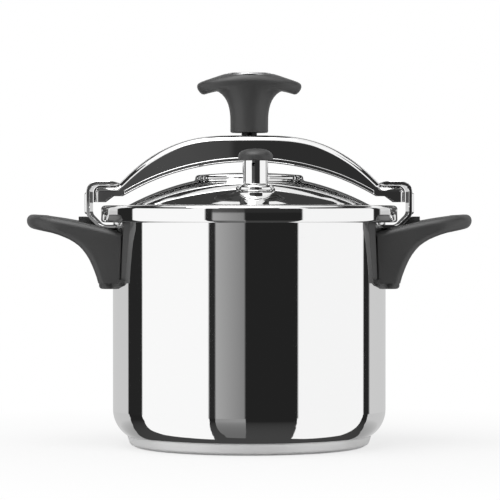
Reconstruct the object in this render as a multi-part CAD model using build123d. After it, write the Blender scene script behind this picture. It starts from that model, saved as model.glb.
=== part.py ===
from build123d import *
import os
from math import sqrt

# Stovetop pressure cooker, in millimetres.
# The origin is the centre of the base on the table, Z is up, the handles lie along X
# and the valve stands towards -Y, the front.

# Pot and base
pot_radius = 111.0
pot_wall = 1.0
pot_corner_radius = 25.0
pot_floor_height = 5.2
pot_rim_height = 187.4
rim_radius = 116.0
rim_bead_radius = 1.6
base_height = 9.2
base_top_radius = 99.6
base_foot_radius = 92.0
base_shell_wall = 1.0

# Lid
lid_sheet = 1.2
lid_radius = 120.6
skirt_height = 182.5
brim_height = 195.8
dome_radius = 207.7
dome_centre_height = 13.1
plateau_radius = 44.0
plateau_crown_radius = 484.0
plateau_height = 222.3
gasket_inner_radius = 109.6
gasket_outer_radius = 118.8

# Valves on the lid
valve_x = 4.9
valve_y = -69.0
valve_seat_radius = 15.6
valve_seat_height = 206.4
safety_y = 66.0
safety_seat_radius = 11.0
safety_seat_height = 208.4

# Brackets
bracket_sheet = 3.0
bracket_half_width = 23.0
bracket_arm_height = 178.6
bracket_leg_x = 130.1
bracket_top_height = 213.8
bracket_tip_x = 107.2
tab_half_width = 20.0

# Handles
handle_root_half_width = 47.5
handle_tip_half_width = 41.0
handle_tip_x = 180.4
handle_foot_height = 128.3
flange_low_half_width = 49.5
flange_high_half_width = 61.5
flange_top_height = 181.0
handle_screw_height = 150.0

# Bridge
bridge_sheet = 2.2
bridge_crown_height = 252.4
bridge_tongue_height = 211.9
bridge_slope_end = 105.7
bridge_end_x = 126.2
bridge_middle_half_width = 21.0
bridge_end_half_width = 15.5
hem_height = 3.0
hem_proud = 1.0

# Screw and knob
spindle_radius = 5.0
neck_radius = 6.3
running_gap = 0.05
drive_width = 9.0
knob_foot_height = 255.0
knob_top_height = 303.0
stem_radius = 15.4
knob_half_length = 42.5
knob_half_depth = 20.6
disc_radius = 18.3
disc_low = 300.4
disc_top = 303.5


def cylinder(radius, low, high, x=0.0, y=0.0):
    return Pos(x, y, low) * Cylinder(radius, high - low, align=(Align.CENTER, Align.CENTER, Align.MIN))


def tube(outer, inner, low, high, x=0.0, y=0.0):
    return cylinder(outer, low, high, x, y) - cylinder(inner, low - 1, high + 1, x, y)


def block(low, high):
    size = [b - a for a, b in zip(low, high)]
    return Pos(*low) * Box(*size, align=(Align.MIN, Align.MIN, Align.MIN))


def turned(outline):
    return revolve(Plane.XZ * outline, Axis.Z)


def hexagon(across_flats, low, high, x, y):
    outline = RegularPolygon(across_flats / 2, 6, major_radius=False)
    return extrude(Pos(x, y, low) * outline, high - low)


def along_y(outline, half_width):
    return extrude(Plane.XZ * outline, half_width, both=True)


def both_sides(right):
    return right, Rot(0, 0, 180) * right


def save(shape, node):
    export_step(shape, f"parts/{node}.step")


# The filled shape of the pot, used for the pot itself and to trim what hugs it.
def pot_block(inset):
    radius = pot_radius - inset
    floor = pot_floor_height + inset
    filled = cylinder(radius, floor, pot_rim_height)
    foot = filled.edges().filter_by(GeomType.CIRCLE).sort_by(Axis.Z)[0]
    return fillet(foot, pot_corner_radius - inset)


def pot_body():
    wall = pot_block(0) - cylinder(pot_radius + 1, pot_rim_height - 5, pot_rim_height + 1)
    neck = FilletPolyline(
        (pot_radius - pot_wall / 2, pot_rim_height - 8),
        (pot_radius - pot_wall / 2, pot_rim_height - pot_wall / 2),
        (rim_radius, pot_rim_height - pot_wall / 2),
        radius=2.5,
    )
    flange = turned(make_face(offset(neck, pot_wall / 2)))
    bead_place = Pos(rim_radius, pot_rim_height - rim_bead_radius)
    bead = turned(bead_place * Circle(rim_bead_radius))
    hollow = pot_block(pot_wall) + cylinder(pot_radius - pot_wall, 60, pot_rim_height - 5)
    return wall - hollow + flange + bead


def base_outline():
    shape = Polyline(
        (0, 0),
        (base_foot_radius, 0),
        (base_top_radius - 1.4, 4.4),
        (base_top_radius, base_height),
        (0, base_height),
        close=True,
    )
    outline = make_face(shape)
    corners = outline.vertices().sort_by(Axis.X)[-3:].sort_by(Axis.Y)[:2]
    return fillet(corners, 4.0)


def base_pieces():
    filled = turned(base_outline()) - pot_block(0)
    inside = cylinder(base_foot_radius - 1.5, base_shell_wall, base_height)
    core = filled & inside
    return core, filled - core


def stamped_seat(shape, radius, height, x, y, low):
    raised = shape + cylinder(radius, low, height, x, y)
    return raised - cylinder(radius, height, height + 40, x, y)


def ball_height(radius, centre, reach):
    return centre + sqrt(radius**2 - reach**2)


# The filled shape under the lid sheet; an inset equal to the sheet gives its inside.
def lid_block(inset):
    edge = lid_radius - inset
    brim = brim_height - inset
    ball = dome_radius - inset
    step = plateau_radius - inset
    crown = plateau_crown_radius - inset
    crown_centre = plateau_height - plateau_crown_radius
    foot = sqrt(ball**2 - (brim - dome_centre_height) ** 2)
    middle = (foot + step) / 2
    low_step = ball_height(ball, dome_centre_height, step)
    high_step = ball_height(crown, crown_centre, step)
    skirt = Polyline((0, skirt_height - inset), (edge, skirt_height - inset), (edge, brim), (foot, brim))
    middle_height = ball_height(ball, dome_centre_height, middle)
    dome = ThreePointArc((foot, brim), (middle, middle_height), (step, low_step))
    rise = Line((step, low_step), (step, high_step))
    half_way = ball_height(crown, crown_centre, step / 2)
    cap = ThreePointArc((step, high_step), (step / 2, half_way), (0, plateau_height - inset))
    axis = Line((0, plateau_height - inset), (0, skirt_height - inset))
    outline = make_face([skirt, dome, rise, cap, axis])
    roundings = [
        ((edge, brim), 3.4 - inset),
        ((foot, brim), 5.0 + inset),
        ((step, low_step), 1.4 + inset),
        ((step, high_step), 2.6 - inset),
    ]
    for corner, radius in roundings:
        vertex = outline.vertices().sort_by_distance((*corner, 0))[0]
        outline = fillet(vertex, radius)
    return turned(outline)


def lid():
    outer = lid_block(0)
    inner = lid_block(lid_sheet)
    seats = [
        (valve_seat_radius, valve_seat_height, valve_x, valve_y, 5.1),
        (safety_seat_radius, safety_seat_height, 0, safety_y, 5.1),
    ]
    for radius, height, x, y, hole in seats:
        outer = stamped_seat(outer, radius, height, x, y, 196)
        pocket = inner - cylinder(radius + lid_sheet, height - lid_sheet, height + 40, x, y)
        inner = pocket + cylinder(radius - lid_sheet, 192, height - lid_sheet, x, y)
    shell = outer - inner
    for radius, height, x, y, hole in seats:
        shell -= cylinder(hole, height - 5, height + 5, x, y)
    return shell


def lid_gasket():
    low = pot_rim_height + 0.1
    high = brim_height - lid_sheet - 0.1
    ring = tube(gasket_outer_radius, gasket_inner_radius, low, high)
    return fillet(ring.edges().filter_by(GeomType.CIRCLE), 2.4)


def vent_pipe():
    collar = cylinder(14.5, valve_seat_height, valve_seat_height + 5.4, valve_x, valve_y)
    collar = fillet(collar.edges().filter_by(GeomType.CIRCLE), 2.2)
    shank = cylinder(5.0, valve_seat_height - 10.4, valve_seat_height, valve_x, valve_y)
    pipe = cylinder(4.0, valve_seat_height + 5, valve_seat_height + 14.6, valve_x, valve_y)
    bore = cylinder(1.6, valve_seat_height - 12, valve_seat_height + 16, valve_x, valve_y)
    return collar + shank + pipe - bore


def valve_needle():
    tip = Pos(valve_x, valve_y, 221.3) * Cone(0.5, 2.2, 1.8)
    body = cylinder(2.2, 222.2, 228.0, valve_x, valve_y)
    stem = cylinder(1.6, 228.0, 231.2, valve_x, valve_y)
    return tip + body + stem


def valve_weight():
    body = cylinder(9.9, 212.2, 231.5, valve_x, valve_y)
    body = fillet(body.edges().filter_by(GeomType.CIRCLE), 0.8)
    body -= cylinder(5.6, 212, 229.6, valve_x, valve_y)
    body -= cylinder(1.6 + running_gap, 229, 232, valve_x, valve_y)
    jet = Pos(valve_x - 1.6, valve_y - 7.5, 228.0) * Rot(90, 0, 0) * Cylinder(1.4, 8)
    return body - jet


def valve_cap():
    side = Polyline((0, 240.6), (0, 231.5), (13.8, 231.5), (13.8, 234.6))
    dome = Spline((13.8, 234.6), (11.0, 238.5), (0, 240.6), tangents=((0, 1), (-1, 0)))
    cap = turned(make_face([side, dome]))
    low = cap.edges().filter_by(GeomType.CIRCLE).sort_by(Axis.Z)[0]
    return Pos(valve_x, valve_y, 0) * fillet(low, 0.7)


def safety_housing():
    head = hexagon(16.0, safety_seat_height, safety_seat_height + 6.4, 0, safety_y)
    shank = cylinder(5.0, safety_seat_height - 11.4, safety_seat_height, 0, safety_y)
    chamber = cylinder(3.9, safety_seat_height - 9.4, safety_seat_height + 5.0, 0, safety_y)
    top_hole = cylinder(2.5 + running_gap, safety_seat_height, safety_seat_height + 10, 0, safety_y)
    inlet = cylinder(1.5, safety_seat_height - 20, safety_seat_height, 0, safety_y)
    return head + shank - chamber - top_hole - inlet


def safety_plunger():
    stem = cylinder(2.5, safety_seat_height - 9.0, safety_seat_height + 8.6, 0, safety_y)
    top = stem.edges().filter_by(GeomType.CIRCLE).sort_by(Axis.Z)[-1]
    foot = cylinder(3.5, safety_seat_height - 9.0, safety_seat_height - 7.0, 0, safety_y)
    return fillet(top, 1.0) + foot


def safety_spring():
    return tube(3.6, 2.9, safety_seat_height - 7.0, safety_seat_height + 5.0, 0, safety_y)


def under_lid_pieces(seat, x, y):
    low = seat - lid_sheet
    seal = tube(8.6, 5.0, low - 1.8, low, x, y)
    nut = hexagon(15.0, low - 6.8, low - 1.8, x, y) - cylinder(5.0, low - 9, low, x, y)
    return seal, nut


def bracket_strip(thickness, half_width):
    path = FilletPolyline(
        (pot_radius - 1, bracket_arm_height),
        (120.6, bracket_arm_height),
        (bracket_leg_x, 188.4),
        (bracket_leg_x, bracket_top_height),
        (bracket_tip_x, bracket_top_height),
        radius=6.0,
    )
    return along_y(make_face(offset(path, thickness / 2)), half_width)


def hugging_plate(inner, outer, outline):
    ring = tube(outer, inner, 100, 200)
    return ring & extrude(Plane.YZ * outline, 150)


def bracket():
    strip = bracket_strip(bracket_sheet, bracket_half_width)
    top = bracket_top_height + bracket_sheet / 2
    low = top - bracket_sheet
    nose = Polyline((112.6, top), (106.2, top - 1.3), (106.2, low + 1.1), (110.2, low), (110.2, low - 5))
    around = Polyline((110.2, low - 5), (90, low - 5), (90, top + 5), (112.6, top + 5), (112.6, top))
    bevel = make_face([nose, around])
    rib = block((bracket_leg_x, -8, 188.6), (bracket_leg_x + bracket_sheet / 2 + 2.2, 8, 206.6))
    rib_face = rib.faces().sort_by(Axis.X)[-1]
    rib = fillet(rib_face.edges(), 2.0)
    tab_outline = Pos(0, 160) * Rectangle(2 * tab_half_width, 36)
    tab = hugging_plate(pot_radius, pot_radius + bracket_sheet, tab_outline)
    return strip - along_y(bevel, 50) + rib + tab - cylinder(pot_radius, 100, 200)


def handle_side():
    foot_height = handle_foot_height
    top = Spline((190.0, 190.2), (141.0, 183.5), (99.0, 173.4))
    tip = Line((190.0, 190.2), (190.0, 180.0))
    under = Spline((190.0, 180.0), (153.5, 172.2), (137.6, 164.3), (125.0, 145.6), (120.4, 131.2))
    heel = ThreePointArc((120.4, 131.2), (119.2, 129.2), (116.9, foot_height))
    foot = Polyline((116.9, foot_height), (99.0, foot_height), (99.0, 173.4))
    return make_face([top, tip, under, heel, foot])


def handle_plan():
    root = handle_root_half_width
    tip = handle_tip_half_width
    end = handle_tip_x
    outline = make_face(Polyline((90, root), (end, tip), (end, -tip), (90, -root), close=True))
    return fillet(outline.vertices().sort_by(Axis.X)[-2:], 30.0)


# Flat-sided flange that the handle leans on the pot with.
def handle_flange():
    low = flange_low_half_width
    high = flange_high_half_width
    front = make_face(Polyline(
        (-low, handle_foot_height),
        (low, handle_foot_height),
        (high, flange_top_height),
        (-high, flange_top_height),
        close=True,
    ))
    corners = front.vertices().sort_by(Axis.Y)
    front = fillet(corners[:2], 6.0)
    front = fillet(front.vertices().sort_by(Axis.Y)[-2:], 6.0)
    plan = make_face(Polyline(
        (80, 62.6), (91.8, 62.4), (102.4, 50.4), (102.4, -50.4), (91.8, -62.4), (80, -62.6), close=True,
    ))
    return extrude(Plane.YZ * front, 150) & extrude(Pos(0, 0, 120) * plan, 70)


# Lug that fills the corner behind the bracket.
def handle_lug():
    corners = [(138.2, 186.8), (131.8, 186.8), (122.6, 177.4), (122.6, 174.0), (138.2, 174.0)]
    outline = Polyline(*corners, close=True)
    lug = along_y(make_face(outline), 13)
    top = lug.edges().filter_by(Axis.Y).sort_by(Axis.Z)[-2:]
    return fillet(top, 1.6)


def handle():
    grip = along_y(handle_side(), handle_root_half_width + 5)
    grip = grip & extrude(Pos(0, 0, 100) * handle_plan(), 120)
    sides = [e for e in grip.edges() if abs((e @ 0).X - (e @ 1).X) > 1 and abs(e.center().Y) > 14]
    ends = [e for e in grip.edges() if e.center().X > handle_tip_x - 0.1 and abs((e @ 0).Y - (e @ 1).Y) > 1]
    grip = fillet(sides + ends, 4.5)
    shape = grip + handle_lug() + handle_flange() - cylinder(pot_radius, 100, 200)
    # The foot slopes up towards the pot wall.
    slope = Polyline((108.4, 128.2), (96.0, 135.2), (96.0, 120.0), (108.4, 120.0), close=True)
    shape -= along_y(make_face(slope), 80)
    shape -= bracket_strip(bracket_sheet + 0.6, bracket_half_width + 0.3)
    pocket = Pos(0, 161) * Rectangle(2 * tab_half_width + 0.6, 39)
    shape -= hugging_plate(pot_radius - 1, pot_radius + bracket_sheet + 0.3, pocket)
    along = Pos(0, 0, handle_screw_height) * Rot(0, 90, 0)
    shape -= along * Pos(0, 0, 110) * extrude(RegularPolygon(5.2, 6, major_radius=False), 9.3)
    shape -= along * Pos(0, 0, 125) * Cylinder(2.8, 30)
    return shape - along * Pos(0, 0, 141.5) * Cylinder(5.2, 40)


def handle_nut():
    along = Pos(0, 0, handle_screw_height) * Rot(0, 90, 0)
    start = pot_radius + bracket_sheet
    nut = along * Pos(0, 0, start) * extrude(RegularPolygon(5.0, 6, major_radius=False), 5.0)
    return nut - along * Pos(0, 0, 120) * Cylinder(2.5, 40)


def handle_screw():
    along = Pos(0, 0, handle_screw_height) * Rot(0, 90, 0)
    shank = along * Pos(0, 0, 118.0) * Cylinder(2.5, 7.0)
    head = along * Pos(0, 0, 123.0) * Cylinder(4.6, 3.0)
    slot = along * Pos(0, 0, 124.5) * Box(1.2, 12, 2.4)
    return shank + head - slot


def bridge_top_line():
    crown = Spline(
        (0, bridge_crown_height),
        (46.3, 249.4),
        (65.7, 242.9),
        (85.0, 231.6),
        (bridge_slope_end, 213.1),
        tangents=((1, 0), (1, -1)),
    )
    turn = JernArc((bridge_slope_end, 213.1), (1, -1), 4.1, 45)
    return crown, turn


def bridge_outline(drop, end, floor):
    crown, turn = bridge_top_line()
    tongue = Line(turn @ 1, (end, bridge_tongue_height))
    if floor:
        low = Polyline((end, bridge_tongue_height), (end, 150), (0, 150), (0, bridge_crown_height))
        lower = [low]
    else:
        heel = (101.0, 205.0)
        under = Spline((0, 231.6), (40.0, 227.7), (80.2, 215.5), heel, tangents=((1, 0), (1, -0.56)))
        tooth = FilletPolyline(heel, (103.8, 203.4), (110.9, 203.4), (117.6, 198.5), (end, 198.5), radius=1.6)
        end_side = Line((end, 198.5), (end, bridge_tongue_height))
        axis = Line((0, 231.6), (0, bridge_crown_height))
        lower = [under, tooth, end_side, axis]
    half = make_face([crown, turn, tongue] + lower)
    return Pos(0, -drop) * (half + mirror(half, Plane.YZ))


def bridge_plan(inset):
    end = bridge_end_x - inset
    middle = bridge_middle_half_width - inset
    narrow = bridge_end_half_width - inset
    flank = (55, (middle + narrow) / 2)
    side = Spline((0, middle), flank, (bridge_slope_end, narrow), tangents=((1, 0), (1, 0)))
    corner = 5.0 - min(inset, 2.0)
    rest = FilletPolyline((bridge_slope_end, narrow), (end, narrow), (end, 0), radius=corner)
    quarter = make_face([side, rest, Line((end, 0), (0, 0)), Line((0, 0), (0, middle))])
    half = quarter + mirror(quarter, Plane.XZ)
    return half + mirror(half, Plane.YZ)


def upright(outline):
    return extrude(Pos(0, 0, 140) * outline, 130)


def bridge():
    side = bridge_outline(0, bridge_end_x, False)
    outer = along_y(side, 40) & upright(bridge_plan(0))
    upper = [e for e in outer.edges() if min((e @ 0).Z, (e @ 1).Z) > bridge_tongue_height - 1]
    folds = [e for e in upper if abs(e.center().Y) > 10 or abs(e.center().X) > 120]
    outer = fillet(folds, 4.0)
    strip = side - Pos(0, hem_height) * side
    strip = strip & (Pos(0, 190) * Rectangle(204, 100))
    hem = along_y(strip, 40) & upright(bridge_plan(-hem_proud))
    hollow = bridge_outline(bridge_sheet, bridge_end_x, True)
    inner = along_y(hollow, 40) & upright(bridge_plan(bridge_sheet))
    shell = outer + hem - inner
    return shell - cylinder(neck_radius + 0.4, 240, 260)


def bridge_bush(bridge_shape):
    body = cylinder(11.0, 237.5, 252.0)
    flange = cylinder(15.5, 244.5, 252.0)
    bush = body + flange - cylinder(spindle_radius + running_gap, 230, 260) - bridge_shape
    top = bridge_crown_height - bridge_sheet
    return bush & cylinder(20, 230, top)


def screw_spindle():
    thread = cylinder(spindle_radius, 228.0, 252.8)
    peg = cylinder(3.4, 225.2, 228.0)
    neck = cylinder(neck_radius, 252.8, 262.0)
    drive = block((-drive_width / 2, -drive_width / 2, 262.0), (drive_width / 2, drive_width / 2, 282.0))
    return thread + peg + neck + drive - cylinder(2.5, 268.0, 283.0)


def pressure_pad():
    pad = cylinder(5.4, plateau_height + 0.05, 227.9)
    rims = pad.edges().filter_by(GeomType.CIRCLE)
    return fillet(rims, 0.6) - cylinder(3.4 + running_gap, 225.0, 230.0)


def knob_front():
    rim = disc_radius + 0.6
    top = Polyline((0, knob_top_height), (rim, knob_top_height))
    slope = Spline((rim, knob_top_height), (29.0, 299.9), (40.4, 295.9))
    tip = ThreePointArc((40.4, 295.9), (knob_half_length, 292.0), (37.6, 286.2))
    scoop = ThreePointArc((37.6, 286.2), (31.0, 288.7), (22.0, 286.0))
    close = Polyline((22.0, 286.0), (0, 286.0), (0, knob_top_height))
    half = make_face([top, slope, tip, scoop, close])
    return half + mirror(half, Plane.YZ)


def knob_end():
    deep = knob_half_depth
    rim = disc_radius + 0.6
    top = Polyline((0, knob_top_height), (rim, knob_top_height))
    slope = ThreePointArc((rim, knob_top_height), (deep - 0.4, 300.6), (deep, 297.4))
    close = Polyline((deep, 297.4), (deep - 0.3, 291.0), (18.6, 286.0), (0, 286.0), (0, knob_top_height))
    half = make_face([top, slope, close])
    return half + mirror(half, Plane.YZ)


def knob():
    # The oval is a little deeper than the end outline, which trims its sides.
    head = extrude(Pos(0, 0, 280) * Ellipse(knob_half_length, knob_half_depth + 0.3), 30)
    head = head & along_y(knob_front(), 40)
    head = head & extrude(Plane.YZ * knob_end(), 60, both=True)
    rings = [
        (stem_radius, stem_radius, 262.0),
        (16.0, 15.8, 272.4),
        (18.6, 17.2, 281.3),
        (22.6, 18.6, 286.4),
    ]
    sections = [Pos(0, 0, height) * Ellipse(a, b) for a, b, height in rings]
    flare = loft(sections)
    collar = cylinder(stem_radius, knob_foot_height, 262.0)
    low = collar.edges().filter_by(GeomType.CIRCLE).sort_by(Axis.Z)[0]
    shape = head + flare + fillet(low, 1.0)
    shape -= cylinder(disc_radius, disc_low, knob_top_height + 5)
    shape -= cylinder(neck_radius, 250, 262.0)
    half = drive_width / 2
    shape -= block((-half, -half, 262.0), (half, half, 282.0))
    shape -= cylinder(2.7, 280, 294)
    return shape - cylinder(8.0, 292.0, 310)


def knob_disc():
    disc = cylinder(disc_radius, disc_low, disc_top)
    top = disc.edges().filter_by(GeomType.CIRCLE).sort_by(Axis.Z)[-1]
    return fillet(top, 1.2)


def knob_washer():
    return tube(7.0, 2.6, 292.0, 293.2)


def knob_screw():
    slot = Pos(0, 0, 297) * Box(12, 1.2, 3.0)
    return cylinder(2.5, 269.0, 293.2) + cylinder(4.6, 293.2, 297.0) - slot


os.makedirs("parts", exist_ok=True)

save(pot_body(), "pot_body")
core, shell = base_pieces()
save(core, "base_core")
save(shell, "base_shell")

right_bracket, left_bracket = both_sides(bracket())
save(right_bracket, "bracket_right")
save(left_bracket, "bracket_left")
right_handle, left_handle = both_sides(handle())
save(right_handle, "handle_right")
save(left_handle, "handle_left")
save(Compound(children=list(both_sides(handle_nut()))), "handle_nuts")
save(Compound(children=list(both_sides(handle_screw()))), "handle_screws")

save(lid(), "lid")
save(lid_gasket(), "lid_gasket")
save(vent_pipe(), "vent_pipe")
seal, nut = under_lid_pieces(valve_seat_height, valve_x, valve_y)
save(seal, "vent_seal")
save(nut, "vent_nut")
save(valve_needle(), "valve_needle")
save(valve_weight(), "valve_weight")
save(valve_cap(), "valve_cap")
save(safety_housing(), "safety_housing")
seal, nut = under_lid_pieces(safety_seat_height, 0, safety_y)
save(seal, "safety_seal")
save(nut, "safety_nut")
save(safety_plunger(), "safety_plunger")
save(safety_spring(), "safety_spring")

arch = bridge()
save(arch, "bridge")
save(bridge_bush(arch), "bridge_bush")
save(screw_spindle(), "screw_spindle")
save(pressure_pad(), "pressure_pad")
save(knob(), "knob")
save(knob_disc(), "knob_disc")
save(knob_washer(), "knob_washer")
save(knob_screw(), "knob_screw")
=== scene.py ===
import bpy
import bmesh
from math import atan2, cos, pi, radians, sin, sqrt
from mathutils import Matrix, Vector
from mathutils.geometry import interpolate_bezier


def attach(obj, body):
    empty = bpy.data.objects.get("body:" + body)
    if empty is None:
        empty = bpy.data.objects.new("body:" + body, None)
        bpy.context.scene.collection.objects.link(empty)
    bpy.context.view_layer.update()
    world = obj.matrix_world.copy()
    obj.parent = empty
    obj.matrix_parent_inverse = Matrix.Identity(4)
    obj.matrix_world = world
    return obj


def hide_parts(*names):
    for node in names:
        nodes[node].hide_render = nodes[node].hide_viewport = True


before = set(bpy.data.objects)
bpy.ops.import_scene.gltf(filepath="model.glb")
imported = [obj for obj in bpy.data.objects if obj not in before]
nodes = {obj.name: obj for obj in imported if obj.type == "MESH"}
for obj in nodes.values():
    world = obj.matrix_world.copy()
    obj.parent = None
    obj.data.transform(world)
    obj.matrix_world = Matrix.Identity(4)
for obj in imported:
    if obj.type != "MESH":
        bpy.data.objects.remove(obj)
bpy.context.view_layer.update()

mm = 0.001  # sizes below are in millimetres
print("frame loaded,", len(nodes), "nodes")


# Looks

def hexColour(code):
    parts = [int(code[i:i + 2], 16) / 255 for i in (1, 3, 5)]
    linear = [c / 12.92 if c <= 0.04045 else ((c + 0.055) / 1.055) ** 2.4 for c in parts]
    return (*linear, 1.0)


def addNode(tree, kind, settings=None, links=None):
    node = tree.nodes.new("ShaderNode" + kind)
    for key, value in (settings or {}).items():
        if isinstance(key, str) and hasattr(node, key):
            setattr(node, key, value)
        else:
            node.inputs[key].default_value = value
    for key, source in (links or {}).items():
        tree.links.new(source, node.inputs[key])
    return node


def startLook(name, colour, metallic):
    look = bpy.data.materials.new(name)
    look.use_nodes = True
    tree = look.node_tree
    shader = tree.nodes["Principled BSDF"]
    shader.inputs["Base Color"].default_value = hexColour(colour)
    shader.inputs["Metallic"].default_value = metallic
    place = addNode(tree, "TexCoord").outputs["Object"]
    return look, tree, shader, place


def useSurface(tree, shader, rough, bump):
    tree.links.new(rough.outputs[0], shader.inputs["Roughness"])
    tree.links.new(bump.outputs[0], shader.inputs["Normal"])


polish = {"colour": "#eeeeee", "roughLow": 0.022, "roughHigh": 0.05, "haze": 28, "buffLine": 0.7,
          "stretch": 25, "wave": 40, "waveDepth": 0.02}


def polishedSteelLook():
    # 18/10 stainless sheet, buffed to a mirror: sharp reflections, faint haze patches, slightly wavy sheet
    look, tree, shader, place = startLook("polishedStainlessSteel", polish["colour"], 1.0)
    haze = addNode(tree, "TexNoise", {"Scale": 1 / (polish["haze"] * mm), "Detail": 3.0}, {"Vector": place})
    stretch = polish["stretch"]  # buffing runs round the wall
    flat = addNode(tree, "Mapping", {"Scale": (1, 1, stretch)}, {"Vector": place})
    lineScale = 1 / (stretch * polish["buffLine"] * mm)  # real lines are finer, drawn coarse enough to show
    lines = addNode(tree, "TexNoise", {"Scale": lineScale, "Detail": 2.0}, {"Vector": flat.outputs[0]})
    both = addNode(tree, "Math", {"operation": "MULTIPLY"}, {0: haze.outputs[0], 1: lines.outputs[0]})
    rough = addNode(tree, "MapRange", {"From Min": 0.1, "From Max": 0.45, "To Min": polish["roughLow"],
                    "To Max": polish["roughHigh"]}, {"Value": both.outputs[0]})
    wave = addNode(tree, "TexNoise", {"Scale": 1 / (polish["wave"] * mm), "Detail": 1.0}, {"Vector": place})
    bump = addNode(tree, "Bump", {"Strength": 0.3, "Distance": polish["waveDepth"] * mm},
                   {"Height": wave.outputs[0]})
    useSurface(tree, shader, rough, bump)
    return look


# colour and metallic: near white and hardly metallic, a painted reflection of the pale table under the base
# on top of the satin steel's own light grey
satin = {"colour": "#f4f4f4", "metallic": 0.12, "rough": 0.42, "line": 0.5, "stretch": 30,
         "lineDepth": 0.05}


def satinSteelPaintedReflectionLook():
    # base shell, sanded round and round: broad soft reflections with fine rings. Its colour is near white
    # and hardly metallic, which paints a reflection of the pale table below the base over the steel's own
    # light grey
    look, tree, shader, place = startLook("satinSteelPaintedTableReflection", satin["colour"], satin["metallic"])
    stretch, middle = satin["stretch"], satin["rough"]
    rings = addNode(tree, "Mapping", {"Scale": (1, 1, stretch)}, {"Vector": place})
    lines = addNode(tree, "TexNoise", {"Scale": 1 / (stretch * satin["line"] * mm), "Detail": 3.0},
                    {"Vector": rings.outputs[0]})
    rough = addNode(tree, "MapRange", {"To Min": middle - 0.06, "To Max": middle + 0.06},
                    {"Value": lines.outputs[0]})
    bump = addNode(tree, "Bump", {"Strength": 0.25, "Distance": satin["lineDepth"] * mm},
                   {"Height": lines.outputs[0]})
    useSurface(tree, shader, rough, bump)
    return look


phenolic = {"colour": "#363636", "pale": "#3e3e3e", "grain": 0.9, "grainDepth": 0.05, "cloud": 18,
            "rough": 0.45, "ior": 1.6}


def phenolicLook():
    # phenolic resin moulded in a lightly blasted tool: dark grey, soft highlights, very fine grain
    look, tree, shader, place = startLook("mouldedPhenolic", phenolic["colour"], 0.0)
    shader.inputs["IOR"].default_value = phenolic["ior"]
    cloudScale, grainScale = 1 / (phenolic["cloud"] * mm), 1 / (phenolic["grain"] * mm)
    cloud = addNode(tree, "TexNoise", {"Scale": cloudScale, "Detail": 4.0}, {"Vector": place})
    tint = addNode(tree, "ValToRGB", {}, {"Fac": cloud.outputs[0]})
    tint.color_ramp.elements[0].color = hexColour(phenolic["colour"])
    tint.color_ramp.elements[1].color = hexColour(phenolic["pale"])
    tree.links.new(tint.outputs[0], shader.inputs["Base Color"])
    middle = phenolic["rough"]
    rough = addNode(tree, "MapRange", {"To Min": middle - 0.05, "To Max": middle + 0.08},
                    {"Value": cloud.outputs[0]})
    # the real grain is about 0.1 mm, too fine for the picture, so it is drawn coarser and very shallow
    grain = addNode(tree, "TexNoise", {"Scale": grainScale, "Detail": 2.0}, {"Vector": place})
    bump = addNode(tree, "Bump", {"Strength": 0.12, "Distance": phenolic["grainDepth"] * mm},
                   {"Height": grain.outputs[0]})
    useSurface(tree, shader, rough, bump)
    return look


spunDisc = {"colour": "#c4c4c5", "ring": 0.8, "ringDepth": 0.05, "rough": 0.3}


def spunAluminiumLook():
    # bare aluminium faced on a lathe: fine rings that spread the light
    look, tree, shader, place = startLook("facedAluminium", spunDisc["colour"], 1.0)
    period = 0.314  # of the wave texture at scale 1
    rings = addNode(tree, "TexWave", {"wave_type": "RINGS", "rings_direction": "Z", "Distortion": 0.4,
                    "Detail": 1.0, "Scale": period / (spunDisc["ring"] * mm)}, {"Vector": place})
    middle = spunDisc["rough"]
    rough = addNode(tree, "MapRange", {"To Min": middle - 0.06, "To Max": middle + 0.08},
                    {"Value": rings.outputs["Fac"]})
    bump = addNode(tree, "Bump", {"Strength": 0.2, "Distance": spunDisc["ringDepth"] * mm},
                   {"Height": rings.outputs["Fac"]})
    useSurface(tree, shader, rough, bump)
    return look


def grainyLook(name, colour, metallic, middle, grain, depth):
    # plain small parts: one colour, a little grain in gloss and surface
    look, tree, shader, place = startLook(name, colour, metallic)
    spots = addNode(tree, "TexNoise", {"Scale": 1 / (grain * mm), "Detail": 3.0}, {"Vector": place})
    rough = addNode(tree, "MapRange", {"To Min": middle * 0.75, "To Max": middle * 1.25},
                    {"Value": spots.outputs[0]})
    bump = addNode(tree, "Bump", {"Strength": 0.3, "Distance": depth * mm}, {"Height": spots.outputs[0]})
    useSurface(tree, shader, rough, bump)
    return look


polishedSteel = polishedSteelLook()
satinSteel = satinSteelPaintedReflectionLook()
blackPhenolic = phenolicLook()
facedAluminium = spunAluminiumLook()
platedSteel = grainyLook("zincPlatedSteel", "#c2c4c5", 1.0, 0.24, 1.2, 0.02)  # bright bolts, spring
siliconeRubber = grainyLook("mouldedSilicone", "#7d7d7c", 0.0, 0.6, 0.8, 0.05)  # matt seal rings
turnedBrass = grainyLook("turnedBrass", "#c8a662", 1.0, 0.26, 0.7, 0.02)  # soft yellow safety valve
blackenedSteel = grainyLook("blackOxideSteel", "#2a2a2b", 1.0, 0.3, 0.9, 0.02)  # dark, oily screw
rolledAluminium = grainyLook("rolledAluminium", "#c6c8ca", 1.0, 0.38, 2.0, 0.03)  # dull heat core
print("looks ready")


# Modelling helpers

wideSteps = 192  # round the pot, base and lid
smallSteps = 96  # round the valves


def at(x, y, z):
    return Vector((x, y, z)) * mm


def leaveEdit():
    if bpy.context.object and bpy.context.object.mode != 'OBJECT':
        bpy.ops.object.mode_set(mode='OBJECT')
    bpy.ops.object.select_all(action='DESELECT')


def enterEdit(piece):
    leaveEdit()
    bpy.context.view_layer.objects.active = piece
    bpy.ops.object.mode_set(mode='EDIT')


def pickAll():
    bpy.ops.mesh.select_all(action='SELECT')


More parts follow.
